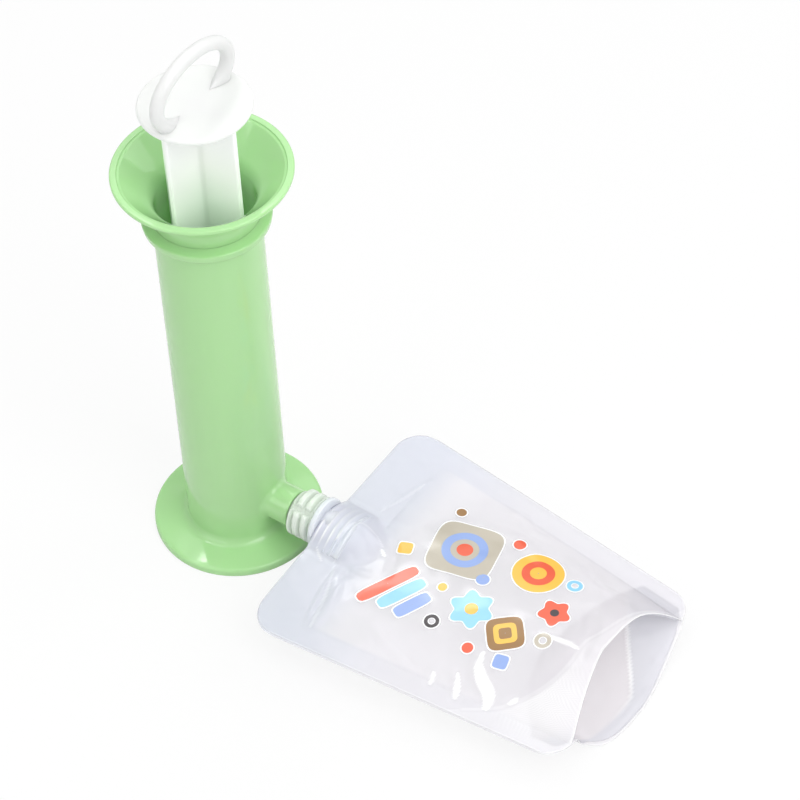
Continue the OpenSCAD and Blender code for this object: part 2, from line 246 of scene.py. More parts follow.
def wall_with_port(path, port_r, window, half_columns):
    """A turned wall with a round hole of radius port_r about the outlet's axis. Inside
    the window, which is a range of heights and half_columns columns to each side of
    +X, the wall's quads give way to rings that change step by step from the window's
    edge to the hole. Returns the parts and the hole's rim."""
    z = path[:, 1]
    in_window = (z > window[0] - 1e-6) & (z < window[1] + 1e-6)
    rows = np.where(in_window & (path[:, 0] > WALL_R[0]) & (path[:, 0] < WALL_R[1]))[0]
    r0, r1, row_numbers = rows.min(), rows.max(), np.arange(len(path))
    step = 2 * np.pi / COLUMNS
    angles = (np.arange(COLUMNS) - half_columns) * step
    pts = np.stack([path[:, :1] * np.cos(angles), path[:, :1] * np.sin(angles), z[:, None] + 0 * angles], -1)
    faces = grid_faces(len(path), COLUMNS, wrap_v=True)
    i, j = faces[:, 0] // COLUMNS, faces[:, 0] % COLUMNS
    keep = ~((i >= r0) & (i < r1) & (j < 2 * half_columns))
    cols = np.arange(2 * half_columns + 1)
    edge = np.array([(r0, c) for c in cols] + [(r, cols[-1]) for r in range(r0 + 1, r1 + 1)]
                    + [(r1, c) for c in cols[-2::-1]] + [(r, 0) for r in range(r1 - 1, r0, -1)])
    edge_angle = angles[edge[:, 1]]
    edge_row = edge[:, 0].astype(float)
    edge_z = z[edge[:, 0]]
    turn = np.arctan2(edge_z - OUTLET_Z, path[edge[:, 0], 0] * np.sin(edge_angle))
    rim_z = OUTLET_Z + port_r * np.sin(turn)
    order = np.argsort(z[r0:r1 + 1])
    rim_row = np.interp(rim_z, z[r0:r1 + 1][order], np.arange(r0, r1 + 1)[order])
    rim_r = np.interp(rim_row, row_numbers, path[:, 0])
    rim_angle = np.arcsin(port_r * np.cos(turn) / rim_r)
    rings = []
    for s in np.linspace(0, 1, 9):
        row, angle = edge_row * (1 - s) + rim_row * s, edge_angle * (1 - s) + rim_angle * s
        r = np.interp(row, row_numbers, path[:, 0])
        rings.append(np.stack([r * np.cos(angle), r * np.sin(angle), np.interp(row, row_numbers, z)], -1))
    rings = np.array(rings)
    return [(pts, faces[keep]), (rings, grid_faces(9, len(edge), wrap_v=True))], rings[-1], turn


def bridge(first, last, lead_first, lead_last, steps):
    """Rings from one closed curve to another along Hermite curves: each starts in the
    direction lead_first and ends in the direction lead_last."""
    s = np.linspace(0, 1, steps + 1)[:, None, None]
    return ((2 * s**3 - 3 * s**2 + 1) * first + (s**3 - 2 * s**2 + s) * lead_first
            + (-2 * s**3 + 3 * s**2) * last + (s**3 - s**2) * lead_last)


def ring_about_outlet(turn, r, x):
    """A circle of radius r about the outlet's axis, at x, with its points at the turns given."""
    return np.stack([x + 0 * turn, r * np.cos(turn), OUTLET_Z + r * np.sin(turn)], -1)


def barrel_parts():
    """The barrel's parts, then the ring inside the outlet's mouth and the hole in the
    bore's wall, each with the turns of its points."""
    outer, inner = dense_path(barrel_outside(), ROW_STEP), dense_path(barrel_inside(), ROW_STEP)
    wall, rim, turn = wall_with_port(outer, OUTLET_R + ROOT_FILLET, *OUTER_WINDOW)
    bore, bore_rim, bore_turn = wall_with_port(inner, OUTLET_BORE_R, *INNER_WINDOW)
    around = np.stack([0 * turn, np.cos(turn), np.sin(turn)], -1)
    on_wall = ring_about_outlet(turn, OUTLET_R, 0)
    on_wall[:, 0] = np.sqrt(TUBE_R**2 - (OUTLET_R * np.cos(turn))**2) + ROOT_FILLET
    out = np.stack([rim[:, 0], rim[:, 1], 0 * turn], -1)
    out /= np.linalg.norm(out, axis=1, keepdims=True)
    lead = -(around - out * (around * out).sum(1, keepdims=True))
    lead = lead / np.linalg.norm(lead, axis=1, keepdims=True) * ROOT_FILLET * ROOT_PULL
    ahead = np.array([1.0, 0, 0]) * ROOT_FILLET * ROOT_PULL
    tube = [bridge(rim, on_wall, lead, ahead, 9)]
    straight_end = OUTLET_REACH - OUTLET_ROUND
    for s in np.linspace(0, 1, 5)[1:]:
        ring = ring_about_outlet(turn, OUTLET_R, 0)
        ring[:, 0] = on_wall[:, 0] * (1 - s) + straight_end * s
        tube.append(ring[None])
    for a in np.radians([22.5, 45, 67.5, 90]):
        r, x = OUTLET_ROUND * np.cos(a), OUTLET_ROUND * np.sin(a)
        tube.append(ring_about_outlet(turn, OUTLET_R - OUTLET_ROUND + r, straight_end + x)[None])
    mouth = ring_about_outlet(turn, OUTLET_BORE_R + MOUTH_FLARE, OUTLET_REACH)
    flare = ring_about_outlet(turn, OUTLET_BORE_R, OUTLET_REACH - MOUTH_DEPTH)
    outside = np.concatenate(tube + [mouth[None]])
    parts = wall + bore + [(outside, grid_faces(len(outside), len(turn), wrap_v=True)),
                           (np.array([mouth, flare]), grid_faces(2, len(turn), wrap_v=True))]
    return parts, flare, turn, bore_rim, bore_turn


def join_rings(a, a_turn, b, b_turn):
    """Triangles between two circles whose points lie at different turns: both are walked
    round at once, and the point that comes first is taken next."""
    faces, n, m = [], len(a), len(b)
    oa, ob = np.argsort(a_turn), np.argsort(b_turn)
    ta = np.append(a_turn[oa], a_turn[oa][0] + 2 * np.pi)
    tb = np.append(b_turn[ob], b_turn[ob][0] + 2 * np.pi)
    i = j = 0
    while i < n or j < m:
        if j >= m or (i < n and ta[i + 1] <= tb[j + 1]):
            faces.append([oa[i % n], oa[(i + 1) % n], n + ob[j % m]])
            i += 1
        else:
            faces.append([oa[i % n], n + ob[(j + 1) % m], n + ob[j % m]])
            j += 1
    return np.concatenate([a, b]), np.array(faces)


parts, flare, turn, bore_rim, bore_turn = barrel_parts()
parts.append(join_rings(flare, turn, bore_rim, bore_turn))
barrel = make_object("barrel_moulding", parts)
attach(barrel, "stand")
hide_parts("barrel")
print("barrel", len(barrel.data.polygons), "faces")

# %% [markdown]
# The funnel is a separate turned piece whose spigot drops into the barrel's socket.
# Its flare leaves the bore in a quarter-round roll and then runs straight out to a
# flat lip, which has a fine step inside.

# %% Funnel
LIP_Z, LIP_R, LIP_BAND, LIP_T, FUNNEL_WALL, ROLL_R, THROAT_Z = 185.4, 32.8, 2.9, 1.8, 1.7, 9.0, 169.4


def funnel_path():
    """The closed profile of the funnel: up the outside, over the lip and down the inside."""
    low_z, band_r, roll_r = LIP_Z - LIP_T, LIP_R - LIP_BAND, ROLL_R - FUNNEL_WALL
    flare_r = SPIGOT_R + low_z - THROAT_Z - roll_r * (np.sqrt(2) - 1)
    corners = [(BORE_R, SEAT_Z), (SPIGOT_R, SEAT_Z), (SPIGOT_R, THROAT_Z + 3.02), (flare_r - 0.35, low_z),
               (LIP_R, low_z), (LIP_R, LIP_Z), (band_r + 0.5, LIP_Z), (band_r + 0.2, LIP_Z - 0.55),
               (band_r - 0.6, LIP_Z - 0.75), (BORE_R, THROAT_Z + 3.7), (BORE_R, SEAT_Z)]
    radii = [0, 0.4, roll_r, 0.8, 0.7, 0.6, 0.25, 0.2, 0.9, ROLL_R, 0]
    return rounded_path(corners, radii, 10)


funnel = make_object("funnel_moulding", [revolve(dense_path(funnel_path(), 2.5))])
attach(funnel, "stand")
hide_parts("funnel")
print("funnel", len(funnel.data.polygons), "faces")

# %% [markdown]
# The plunger is a shaft of four thin fins, a piston at its foot, and a thin disc with
# an oval ring at its head. The fins are one outline pushed along Z, with a small
# rounded root between them. The ring is a round section carried along an ellipse,
# which narrows sideways to a point where each foot sinks into the disc. These pieces
# also carry painted light: an emission that lifts their shade, and on the shaft it
# fades down towards the piston.

# %% Plunger
DISC_Z, DISC_R, DISC_T = 214.2, 20.4, 1.8
PISTON_Z, PISTON_H, PISTON_R, FIN_R, FIN_T = 67.0, 10.0, 18.0, 17.2, 2.0
PLUNGER_TURN = np.radians(88.0)
RING_A, RING_B, RING_SECTION, RING_Z = 19.3, 12.6, 2.6, 224.6
FOOT_SPREAD, FOOT_HEIGHT, FOOT_TAPER, FOOT_SINK = 0.7, 2.4, 2.6, 1.7
DISC_TOP = DISC_Z + DISC_T


def turned(points, angle):
    """Points turned about Z by the angle."""
    p = np.asarray(points, float)
    c, s = np.cos(angle), np.sin(angle)
    return np.stack([c * p[..., 0] - s * p[..., 1], s * p[..., 0] + c * p[..., 1], p[..., 2]], -1)


def cross_outline():
    """The outline of four fins: a quarter is worked out and turned three times."""
    t, root, tip = FIN_T / 2, 1.6, 0.5
    corners = [(FIN_R, 0), (FIN_R, t), (t, t), (t, FIN_R), (0, FIN_R)]
    quarter = dense_path(rounded_path(corners, [0, tip, root, tip, 0], 4)[1:-1], 3.0)
    quarters = []
    for a in np.pi / 2 * np.arange(4):
        quarters.append(quarter @ np.array([[np.cos(a), np.sin(a)], [-np.sin(a), np.cos(a)]]))
    return np.concatenate(quarters)


def shaft_parts():
    """The fins' outline pushed along Z, from the piston up to the disc."""
    outline = cross_outline()
    z = np.linspace(PISTON_Z + PISTON_H, DISC_Z, 24)[:, None]
    pts = np.stack([outline[:, 0] + 0 * z, outline[:, 1] + 0 * z, z + 0 * outline[:, 0]], -1)
    return turned(pts, PLUNGER_TURN), grid_faces(len(z), len(outline), wrap_v=True)


def ring_parts(steps=140, sides=40):
    """A round section carried along the ellipse (a cos t, b sin t). Near the disc each
    point moves out sideways by spread * (1 - height / foot height)^2, which is the
    fillet at the foot. The section narrows to a point as its inner side sinks in.
    Whatever lies lower than the disc's top is held inside the disc."""
    start = np.arcsin((DISC_Z - FOOT_SINK - RING_Z) / RING_B)
    t = np.linspace(start, np.pi - start, steps)[:, None]
    centre = np.concatenate([RING_A * np.cos(t), 0 * t, RING_Z + RING_B * np.sin(t)], 1)
    along = np.concatenate([-RING_A * np.sin(t), 0 * t, RING_B * np.cos(t)], 1)
    along /= np.linalg.norm(along, axis=1, keepdims=True)
    side = np.array([0.0, 1.0, 0.0])
    out = np.cross(side, along)
    b = np.linspace(0, 2 * np.pi, sides, endpoint=False)
    left_over = RING_Z + (RING_B - RING_SECTION) * np.sin(t) - DISC_TOP
    narrow = np.clip(left_over / FOOT_TAPER, 0.02, 1) ** 0.6
    arm = (RING_SECTION * np.cos(b))[None, :, None] * out[:, None] \
        + (narrow * RING_SECTION * np.sin(b))[:, :, None] * side
    pts = centre[:, None] + arm
    height = pts[..., 2] - DISC_TOP
    spread = FOOT_SPREAD * np.clip(1 - np.clip(height, 0, None) / FOOT_HEIGHT, 0, 1) ** 2
    flat = arm[..., :2] / (np.linalg.norm(arm[..., :2], axis=-1, keepdims=True) + 0.3)
    pts[..., :2] += spread[..., None] * flat
    reach = np.hypot(pts[..., 0], pts[..., 1])
    hold = np.minimum(1, (DISC_R - 1.0) / np.maximum(reach, 1e-6))
    pts[..., :2] *= np.where(height < 0.8, hold, 1)[..., None]
    pts[..., 2] = np.maximum(pts[..., 2], DISC_Z + 0.9 - 0.05 * np.abs(np.cos(b)))
    return turned(pts, PLUNGER_TURN), grid_faces(steps, sides, wrap_v=True)


shaft = make_capped("plunger_fins", *shaft_parts())
# Painted light: emission colours by height that lift the shaft's shade, strongest near the disc and fading
# towards the piston.
PAINTED_GLOW_HEIGHTS = [150, 170, 190, 205]
PAINTED_GLOW_LEVELS = [(0.07, 0.15, 0.33, 0.30), (0.10, 0.21, 0.33, 0.29), (0.07, 0.15, 0.32, 0.31)]
HANDLE_PAINTED_GLOW = (0.13, 0.13, 0.13)
shaft_z = vertices_mm(shaft)[:, 2]
set_colours(shaft, "painted_glow", np.stack([np.interp(shaft_z, PAINTED_GLOW_HEIGHTS, channel) for channel in PAINTED_GLOW_LEVELS], -1))
ring = make_capped("handle_ring", *ring_parts())
disc_path = rounded_path([(0, DISC_Z), (DISC_R, DISC_Z), (DISC_R, DISC_TOP), (0, DISC_TOP)],
                         [0, 0.8, 0.8, 0], 6)
disc = make_object("stop_disc", [revolve(dense_path(disc_path, 2.0))])
# The ring and the disc get an even painted glow that lifts their shade.
for piece in (ring, disc):
    set_colours(piece, "painted_glow", HANDLE_PAINTED_GLOW)
GROOVE_R, PLATE_T = 14.6, 2.6
top, low = PISTON_Z + PISTON_H, PISTON_Z
piston_path = rounded_path([(0, low), (PISTON_R, low), (PISTON_R, low + PLATE_T), (GROOVE_R, low + PLATE_T),
                            (GROOVE_R, top - PLATE_T), (PISTON_R, top - PLATE_T), (PISTON_R, top), (0, top)],
                           [0, 1.2, 0.2, 0.2, 0.2, 0.2, 0.5, 0], 4)
piston = make_object("piston", [revolve(dense_path(piston_path, 2.0))])
SEAL_R = BORE_R - 0.05
z0, z1 = low + PLATE_T + 0.05, top - PLATE_T - 0.05
seal_path = rounded_path([(GROOVE_R + 0.05, z0), (SEAL_R, z0), (SEAL_R, z0 + 1.3), (SEAL_R - 1.4, z0 + 1.9),
                          (SEAL_R - 1.4, z1 - 1.9), (SEAL_R, z1 - 1.3), (SEAL_R, z1), (GROOVE_R + 0.05, z1),
                          (GROOVE_R + 0.05, z0)], [0, 0.4, 0.4, 0.3, 0.3, 0.4, 0.4, 0.1, 0], 4)
seal = make_object("seal_ring", [revolve(seal_path)])
for piece, node, body, name in ((shaft, "plunger_shaft", "plunger", "white_plastic"),
                                (ring, "ring_handle", "plunger", "white_plastic"),
                                (disc, "guard_disc", "plunger", "white_plastic"),
                                (piston, "piston_head", "plunger", "white_plastic"),
                                (seal, "piston_seal", "seal", "seal_rubber")):
    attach(piece, body)
    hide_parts(node)
print("plunger pieces", [len(o.data.polygons) for o in (shaft, ring, disc, piston, seal)])

# %% [markdown]
# The spout is the pouch's own moulding. A smooth tip sits in the outlet. Behind it
# come an interrupted thread, a stop flange and a neck that widens into a flat,
# pointed boat with ribs, which is what the films are welded to. The thread is a ridge
# that climbs along a helix and sinks away at both ends of each stretch.

# %% Spout
TIP_X, NECK_X, NECK_R, TIP_R, SPOUT_BORE = 21.5, 29.7, 7.8, 6.45, 5.0
THREAD_R, THREAD_PITCH, THREAD_MIDDLE, THREAD_REACH = 9.75, 3.7, np.radians(122), np.radians(86)
FLANGE_X, FLANGE_R, FLANGE_T = 41.3, 10.5, 2.0
BOAT_X, BOAT_LEN, BOAT_HW, BOAT_HT = 43.35, 13.85, 12.5, 5.2


def smooth(s):
    """Eases from 0 to 1: s squared times (3 - 2 s), held flat outside."""
    s = np.clip(s, 0, 1)
    return s * s * (3 - 2 * s)


def spout_radius(x, a):
    """The spout's outer radius at the distance x along it and the angle a about it. On
    the neck, a ridge follows the helix x = pitch * a / turn and is cut by two gaps."""
    base = np.where(x < NECK_X, TIP_R, NECK_R)
    phase = (x - NECK_X - 2.0) / THREAD_PITCH - a / (2 * np.pi)
    off = np.abs(phase - np.round(phase)) * THREAD_PITCH
    ridge = 1 - smooth((off - 0.8) / 0.75)
    around = np.abs(np.mod(a - THREAD_MIDDLE + np.pi / 2, np.pi) - np.pi / 2)
    ridge = ridge * smooth((THREAD_REACH - around) / np.radians(7))
    ridge = ridge * smooth((x - NECK_X - 0.5) / 0.9) * smooth((FLANGE_X - 0.4 - x) / 0.6)
    return base + (THREAD_R - NECK_R) * ridge * (x > NECK_X)


def spout_parts():
    """The tip, thread and flange as one surface about X: rings of changing radius."""
    a = np.linspace(0, 2 * np.pi, 160, endpoint=False)
    x = np.concatenate([np.linspace(TIP_X + 1.0, NECK_X - 0.05, 8),
                        np.linspace(NECK_X + 0.45, FLANGE_X - 0.02, 64)])
    r = spout_radius(x[:, None], a[None])
    behind, end, stem = FLANGE_X + FLANGE_T, BOAT_X + 4, NECK_R - 1.2
    lead = [(SPOUT_BORE, end), (SPOUT_BORE, TIP_X), (TIP_R - 0.5, TIP_X)]
    tail = rounded_path([(NECK_R, FLANGE_X), (FLANGE_R, FLANGE_X), (FLANGE_R, behind), (stem, behind),
                         (stem, end), (SPOUT_BORE, end)], [0.2, 0.35, 0.35, 0.3, 0, 0], 4)
    xs = np.concatenate([[p[1] for p in lead], x, tail[:, 1]])
    rs = np.concatenate([np.repeat([[p[0]] for p in lead], len(a), 1), r, np.repeat(tail[:, :1], len(a), 1)])
    rings = np.stack([rs * np.cos(a), rs * np.sin(a), xs[:, None] + 0 * a], -1)
    return lay_along_x(rings, OUTLET_Z), grid_faces(len(xs), len(a), wrap_v=True)


def boat_half(y, grow):
    """Half the boat's thickness at y: a lens that comes to a point at both ends."""
    u = np.clip(np.abs(y) / (BOAT_HW + grow), 0, 1)
    return (BOAT_HT + grow) * (1 - u**2) * (1 - 0.18 * u**2) + 0.3


def rib_wave(x):
    """Five rounded ribs along the boat: the square root of a cosine's upper half."""
    return np.maximum(0, np.cos(2 * np.pi * (x - BOAT_X - 1.3) / (BOAT_LEN - 2.6) * 4)) ** 0.5


def boat_parts():
    """The boat pushed along X, with five ribs, round its outline and shut at both ends."""
    x = BOAT_X + np.linspace(0, BOAT_LEN, 66)
    y = np.linspace(-1, 1, 41)
    rows = []
    for xi, g in zip(x, 0.35 * rib_wave(x) - 0.05):
        top = np.stack([xi + 0 * y, y * (BOAT_HW + g), OUTLET_Z + boat_half(y * (BOAT_HW + g), g)], -1)
        low = top[::-1].copy()
        low[:, 2] = 2 * OUTLET_Z - low[:, 2]
        rows.append(np.concatenate([top, low]))
    return np.array(rows), grid_faces(len(x), 82, wrap_v=True)


spout = make_object("spout_thread", [spout_parts()], smooth_angle=35)
# The thread keeps its own pale tint. From the flange on, the spout and the boat carry a painted bluish shade.
THREAD_TINT, FLANGE_PAINTED_SHADE = np.array(srgb(222, 230, 221)[:3]), np.array(srgb(222, 226, 238)[:3])
boat = make_capped("spout_boat", *boat_parts())
for piece in (spout, boat):
    bluish = smooth((vertices_mm(piece)[:, 0] - FLANGE_X + 0.5) / 0.5)[:, None]
    set_colours(piece, "spout_tint_and_shade", (1 - bluish) * THREAD_TINT + bluish * FLANGE_PAINTED_SHADE)
    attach(piece, "pouch")
    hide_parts("spout")
print("spout", len(spout.data.polygons), "boat", len(boat.data.polygons))

# %% [markdown]
# The pouch is three sheets of clear laminate. The two films meet on a gently falling
# middle surface, are welded together along the seams, stand off it over the chamber,
# and swell over the spout's boat. The open end shows the third sheet, the gusset,
# folded in between them. A film is thin, so its highlights follow every small wrinkle:
# the grid is fine enough to hold these as real shape.

# %% Pouch surface
POUCH_X0, POUCH_LEN, POUCH_HW, POUCH_TAPER, POUCH_SIDE = 43.5, 134.3, 57.4, 0.09, 2.9
POUCH_CORNER, SIDE_SEAM, TOP_SEAM = 12.5, 8.5, 20.0
MID_Z0, MID_Z1, RISE, DROP, FULLNESS = OUTLET_Z, 12.4, 10.6, 12.0, 3.2
END_SKEW, FRONT_PULL, BACK_PUSH, CORNER_DROOP, EAR_DIP = 2.3, -11.0, 6.9, 3.0, 2.7
FAR_X = POUCH_X0 + POUCH_LEN
TENT_LEN, TENT_HW, RIBS_END_X = 17.0, BOAT_HW + 1.2, BOAT_X + 0.75 * BOAT_LEN
FILM_T, GUSSET_DEPTH = 0.25, 33
NEAR_WHITE = (0.98, 0.98, 0.985)


def half_width(x):
    """Half the pouch's width at x, which falls evenly along it."""
    return POUCH_HW - POUCH_TAPER * (x - POUCH_X0)


def corner_cut(y, hw):
    """How far a rounded corner pulls an end edge back at y: r - sqrt(r^2 - d^2)."""
    d = np.clip(np.abs(y) - (hw - POUCH_CORNER), 0, POUCH_CORNER)
    return POUCH_CORNER - np.sqrt(POUCH_CORNER**2 - d**2)


def across(x, y):
    """The place between the side seams: -1 at one seam, 0 in the middle, 1 at the other."""
    return y / (half_width(x) - SIDE_SEAM)


def along(x):
    """The place in the chamber: 0 at the top seal's inner edge, 1 at the open end."""
    return np.clip((x - POUCH_X0 - TOP_SEAM) / (POUCH_LEN - TOP_SEAM), 0, 1.2)


def lens(w, low_power, high_power):
    """1 in the middle and 0 at both seams: 1 - |w|^p, with its own power on each side."""
    w = np.clip(w, -1, 1)
    return 1 - np.abs(w) ** np.where(w < 0, low_power, high_power)


def bump(v):
    """A smooth hump: (1 - v^2)^2 inside -1 to 1, and 0 outside."""
    return np.clip(1 - np.asarray(v) ** 2, 0, None) ** 2


def mid_z(x, y):
    """The height at which the films meet: it falls evenly from the spout to the open end,
    and sinks a little at one corner of each end."""
    s = (x - POUCH_X0) / POUCH_LEN
    droop = CORNER_DROOP * (1 - s) * np.clip(-y / POUCH_HW, 0, None) ** 1.5
    dip = EAR_DIP * along(x) ** 2 * bump((across(x, y) - 1) / 0.5)
    return MID_Z0 + (MID_Z1 - MID_Z0) * s - droop - dip


def belly(x, y, upper):
    """How far a film stands off inside the seams. The upper film rises steeply from one
    side of the mouth, and the lower one drops steeply on the other and lies on the floor."""
    q, w = along(x), across(x, y)
    full = FULLNESS * np.sin(np.pi * np.clip(q, 0, 1)) ** 0.6 * lens(w, 2, 2)
    at_end = RISE * lens(w, 1.3, 3.6) if upper else DROP * lens(np.where(w < 0, w / 0.9, w), 8, 2)
    return full + at_end * q**2


def tent(x, y):
    """The film over the boat. Over the boat it is a lens across; past the boat's end it
    falls in an eased slope, narrows, and its sides flatten out."""
    y = y + POUCH_SIDE
    s = np.clip((x - BOAT_X - BOAT_LEN) / TENT_LEN, 0, 1)
    u = np.clip(np.abs(y + 3.0 * s) / (TENT_HW * (1 - 0.15 * s)), 0, 1)
    ribs = 0.45 * rib_wave(x) * bump(y / (TENT_HW + 1)) * (x < RIBS_END_X)
    side = (1 - u * u) ** (1 + 1.2 * smooth(3 * s)) * (1 - 0.15 * u * u)
    return (BOAT_HT + 0.55) * side * (1 - smooth(s)) + ribs


def along_line(x, y, line):
    """For a bent line of points: the distance of (x, y) from its nearest stretch, signed
    by the side, and the share of the way along it."""
    best, share, side = np.full(np.shape(x), 1e9), np.zeros(np.shape(x)), np.zeros(np.shape(x))
    n = len(line) - 1
    for k, (a, b) in enumerate(zip(line[:-1], line[1:])):
        dx, dy = b[0] - a[0], b[1] - a[1]
        size = np.hypot(dx, dy)
        t = np.clip(((x - a[0]) * dx + (y - a[1]) * dy) / size**2, 0, 1)
        d = np.hypot(x - a[0] - t * dx, y - a[1] - t * dy)
        nearer = d < best
        best = np.where(nearer, d, best)
        share = np.where(nearer, (k + t) / n, share)
        side = np.where(nearer, np.sign((x - a[0]) * dy - (y - a[1]) * dx), side)
    return best * side, share


def bent(points, steps=12):
    """A smooth curve through the points: Catmull-Rom pieces."""
    p = np.array([points[0], *points, points[-1]], float)
    out = []
    for a, b, c, d in zip(p[:-3], p[1:-2], p[2:-1], p[3:]):
        t = np.linspace(0, 1, steps, endpoint=False)[:, None]
        square, cube = 2 * a - 5 * b + 4 * c - d, 3 * b - 3 * c + d - a
        out.append(0.5 * (2 * b + (c - a) * t + square * t**2 + cube * t**3))
    return np.concatenate(out + [p[-2:-1]])


# Each fold: its line in millimetres, half width, height. A fold is a soft ridge along
# the line that dies away at both ends.
FOLDS = (
    ([(59, -11), (60, -27), (64, -46)], 1.4, 0.35),
    ([(59, -12), (66, -30), (66, -46)], 3.5, 0.4),
    ([(57, 16), (61, 29), (65, 42)], 1.8, 0.2),
    ([(50, 2), (61, 3), (69, 1), (72, -4)], 2.6, 0.35),
    ([(60, 12), (68, 8), (75, 0), (78, -12)], 3.2, -0.4),
    ([(58, -9), (64, -12), (74, -12)], 2.4, 0.3),
    ([(126, -18), (130, -26), (136, -31), (141, -39)], 5.0, 0.35),
    ([(114, -32), (116, -38), (119, -43)], 3.4, 0.2),
    ([(123, -29), (127, -37), (131, -44)], 3.4, 0.25),
    ([(140, -4), (150, -2), (160, -1)], 3.0, 0.25),
    ([(146, -34), (150, -28)], 2.4, 0.2),
    ([(90, 30), (110, 33), (128, 27)], 4.5, 0.5),
    ([(96, 44), (104, 46), (112, 41), (124, 42)], 2.6, 0.3),
    ([(128, 38), (146, 30), (162, 30)], 4.0, 0.6),
    ([(75, 20), (92, 12), (100, -8)], 8.0, 0.45),
    ([(150, 20), (158, 8), (160, -10)], 5.0, -0.6),
    ([(84, -30), (98, -36), (112, -40)], 3.0, 0.3),
)
WELD_ARC = bent([(134, -43), (146.3, -34), (155, -21.6), (158.6, -10), (158.8, 2), (162, 10),
                 (166, 22), (172, 34)])


def folds(x, y):
    """The sum of all folds: height * hump(distance / half width) * fade at the ends."""
    y = y + POUCH_SIDE
    total = np.zeros(np.shape(x))
    for line, width, height in FOLDS:
        d, share = along_line(x, y, bent(line))
        fade = smooth(share / 0.3) * smooth((1 - share) / 0.3)
        total += height * bump(d / width) * fade
    return total


def ripples(x, y, amount, seed, low=9.0, high=34.0, count=16):
    """Waves of many directions and lengths, from a seeded generator, added up."""
    rng = np.random.default_rng(seed)
    total = 0.0
    for _ in range(count):
        angle, length = rng.uniform(0, np.pi), rng.uniform(low, high)
        wave = 2 * np.pi * (x * np.cos(angle) + y * np.sin(angle)) / length + rng.uniform(0, 6.3)
        total = total + np.sin(wave + 1.2 * np.sin(wave * 0.37 + 1.0)) * (length / high)
    return amount * total / np.sqrt(count)


def end_edge(t, x_t, upper):
    """The open end's x at the share t across. The upper film's edge is drawn back where
    it lifts, and the lower one reaches forward."""
    w = across(x_t, t * half_width(x_t))
    shift = FRONT_PULL * lens(w, 1.3, 3.6) if upper else BACK_PUSH * lens(np.where(w < 0, w / 0.75, w), 5, 1.15)
    return FAR_X + END_SKEW * t + shift - 0.7 * corner_cut(t * half_width(FAR_X), half_width(FAR_X))


def inside(x, y):
    """1 in the chamber and 0 in the seams, with a soft step 2.5 mm wide between them."""
    side = smooth((1 - np.abs(across(x, y))) * half_width(x) / 2.5)
    return side * smooth((x - POUCH_X0 - TOP_SEAM) / 2.5)


def surface(x, y, upper):
    """The film's middle surface at (x, y), y from the pouch's own middle line."""
    off = np.maximum(belly(x, y, upper), tent(x, y))
    chamber = inside(x, y)
    if upper:
        coarse, fine = ripples(x, y, 0.13, 3), ripples(x, y, 0.06, 5, 5, 16)
        detail = folds(x, y) + coarse * chamber + fine * (1 - 0.5 * chamber)
        return mid_z(x, y) + off + detail * 0.9 + FILM_T / 2 + 0.1
    detail = ripples(x, y, 0.2, 11) * chamber * np.clip(1 - along(x), 0, 1)
    z = mid_z(x, y) - off - detail - FILM_T / 2 - 0.1
    floor = FILM_T / 2 + 0.1
    return floor + 0.5 * (z - floor + np.sqrt((z - floor) ** 2 + 0.3))


def film_grid(upper, ns, nt):
    """Points of a film, (ns, nt, 3). Columns near the seams lie closer together."""
    s = np.linspace(0, 1, ns)[:, None]
    t = np.linspace(-1, 1, nt)[None]
    t = t + 0.06 * np.sin(np.pi * t)
    start = POUCH_X0 + corner_cut(t * POUCH_HW, POUCH_HW)
    x = start + s * (end_edge(t, FAR_X, upper) - start)
    y = t * half_width(x) * (1.0 if upper else 1.009)
    return np.stack([x, y + POUCH_SIDE, surface(x, y, upper)], -1)


def gusset_grid(nu, nv):
    """The gusset: u runs from the upper film's end over the crease to the lower film's end."""
    u = np.linspace(-1, 1, nu)[:, None]
    t = np.linspace(-1, 1, nv)[None] * 0.96
    q, upper = np.abs(u), u < 0
    edge = np.where(upper, end_edge(t, FAR_X, True), end_edge(t, FAR_X, False)) - 0.8
    crease = FAR_X - GUSSET_DEPTH * (1 - 0.5 * t * t) + 1.2 * np.sin(5 * t)
    x = crease + (edge - crease) * q
    y = t * (half_width(x) - SIDE_SEAM * 0.4)
    lift = np.where(upper, surface(x, y, True) - mid_z(x, y), mid_z(x, y) - surface(x, y, False))
    share = 1 - (1 - q) ** 1.6
    off = np.where(upper, 1, -1) * np.clip(lift - 0.4, 0.02, None) * share
    z = mid_z(x, y) + off + 0.5 * ripples(x, y, 0.4, 21) * (1 - q)
    return np.stack([x, y + POUCH_SIDE, np.maximum(z, 0.35)], -1)


def mixed(a, b, share):
    """Colours a and b mixed by a share for each point."""
    return np.asarray(a) * (1 - share[:, None]) + np.asarray(b) * share[:, None]


# Each painted highlight, a white ribbon along a fold or wrinkle: its line, half width, strength.
PAINTED_HIGHLIGHTS = (
    ([(128.2, -19), (129.4, -24.4), (131.3, -27), (134.4, -29.7), (138.5, -32.4), (140.4, -35.4),
      (141, -39)], 2.5, 0.9),
    ([(116.4, -35), (117.3, -37.4), (117.9, -40.8)], 0.9, 0.75),
    ([(124.4, -31), (126.7, -35), (127.9, -37.6), (129.4, -41)], 1.3, 0.85),
    ([(143, -3), (151, -1.7), (158.5, -1.4)], 1.1, 0.7),
    ([(147.3, -32.8), (149.6, -29)], 1.0, 0.7),
    ([(47, -12), (52, -16)], 0.4, 0.6),
    ([(56.6, -15.7), (55.5, -7.5), (54.1, -0.1), (57.2, 4.2), (63.7, 4.2), (69.1, 1.1)], 0.5, 0.22),
    ([(68.4, 0.6), (71.8, -1.8)], 0.7, 0.8),
    ([(57, 16), (61, 27), (64, 38)], 0.7, 0.12),
    ([(57, -14), (63, -30), (66, -44)], 0.7, 0.18),
)


